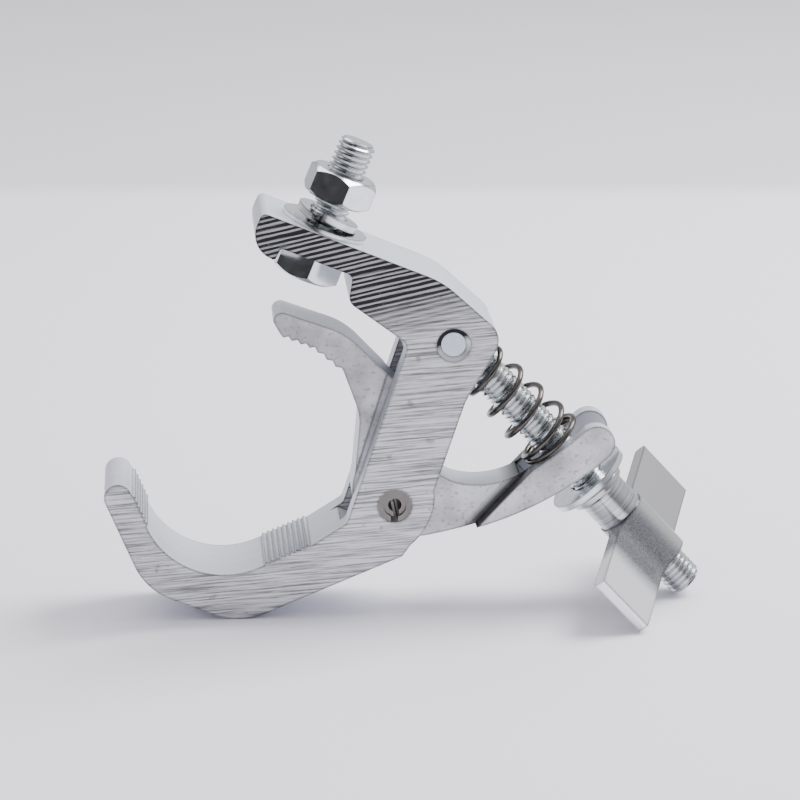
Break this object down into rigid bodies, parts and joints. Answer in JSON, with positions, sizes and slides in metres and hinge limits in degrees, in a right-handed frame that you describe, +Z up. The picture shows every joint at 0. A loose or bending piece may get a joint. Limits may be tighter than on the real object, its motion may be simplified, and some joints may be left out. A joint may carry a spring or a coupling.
{
  "type": "pipe clamp",
  "caption": "Hook clamp for a lighting bar: toothed swing jaw drawn shut by a wing nut on a spring-loaded swing bolt, with a mounting stud and nut on top.",
  "frame": {"origin": "axis of the gripped pipe, at the middle of the clamp's width", "axes": "+Y along the gripped pipe, away from the viewer; +Z up as the clamp lies on a table on its hook and wing nut; +X from the hook towards the wing nut"},
  "size_m": [0.1637, 0.0628, 0.13],
  "materials": {
    "sawn_aluminium": "extruded bar cut to width, with saw and brush marks on the cut faces",
    "jaw_aluminium": "smooth tumbled",
    "zinc_plate": "bright zinc plate",
    "wing_metal": "satin extruded wings",
    "spring_steel": "oiled dark spring wire",
    "pin_steel": "plain steel"
  },
  "bodies": {
    "clamp_body": {"hook_body": "sawn_aluminium", "pivot_roll_pin": "pin_steel", "pivot_core_pin": "pin_steel", "mount_bolt": "zinc_plate", "mount_flat_washer": "zinc_plate"},
    "jaw": {"moving_jaw": "jaw_aluminium"},
    "bolt_trunnion": {"hinge_pin": "pin_steel"},
    "bolt": {"swing_bolt": "zinc_plate", "compression_spring": "spring_steel"},
    "bolt_washer": {"thrust_washer": "zinc_plate"},
    "wing": {"wing_nut": "wing_metal"},
    "lock_washer": {"mount_lock_washer": "zinc_plate"},
    "stud_nut": {"mount_nut": "zinc_plate"}
  },
  "joints": [
    {"name": "jaw_pivot", "type": "hinge", "parent": "clamp_body", "child": "jaw", "pos_m": [0.04395, 0, -0.00835], "axis": [0, -1, 0], "range_deg": [0, 22.65]},
    {"name": "bolt_tilt", "type": "hinge", "parent": "clamp_body", "child": "bolt_trunnion", "pos_m": [0.05962, 0, 0.03603], "axis": [0, -1, 0], "range_deg": [0, 12.52]},
    {"name": "bolt_release", "type": "hinge", "parent": "bolt_trunnion", "child": "bolt", "pos_m": [0.05962, 0, 0.03603], "axis": [0, -1, 0], "range_deg": [0, 22]},
    {"name": "nut_travel", "type": "slide", "parent": "bolt", "child": "bolt_washer", "axis": [-0.6735, 0, 0.7392], "range_m": [0, 0.01956], "deforming": ["compression_spring"]},
    {"name": "wing_nut_spin", "type": "hinge", "parent": "bolt_washer", "child": "wing", "pos_m": [0.11063, 0, -0.01995], "axis": [-0.6735, 0, 0.7392], "range_deg": [0, 4670]},
    {"name": "stud_nut_travel", "type": "slide", "parent": "clamp_body", "child": "lock_washer", "axis": [-0.3827, 0, -0.9239], "range_m": [0, 0.0012]},
    {"name": "stud_nut_spin", "type": "hinge", "parent": "lock_washer", "child": "stud_nut", "pos_m": [0.02886, 0, 0.07334], "axis": [-0.3827, 0, -0.9239], "range_deg": [0, 290]}
  ],
  "couplings": [
    {"joint": "jaw_pivot", "follows": "wing_nut_spin", "ratio": 0.0048394},
    {"joint": "bolt_tilt", "follows": "wing_nut_spin", "ratio": 0.0026586},
    {"joint": "nut_travel", "follows": "wing_nut_spin", "m_per_rad": 0.00023873},
    {"joint": "stud_nut_spin", "follows": "stud_nut_travel", "rad_per_m": 4188.8}
  ]
}
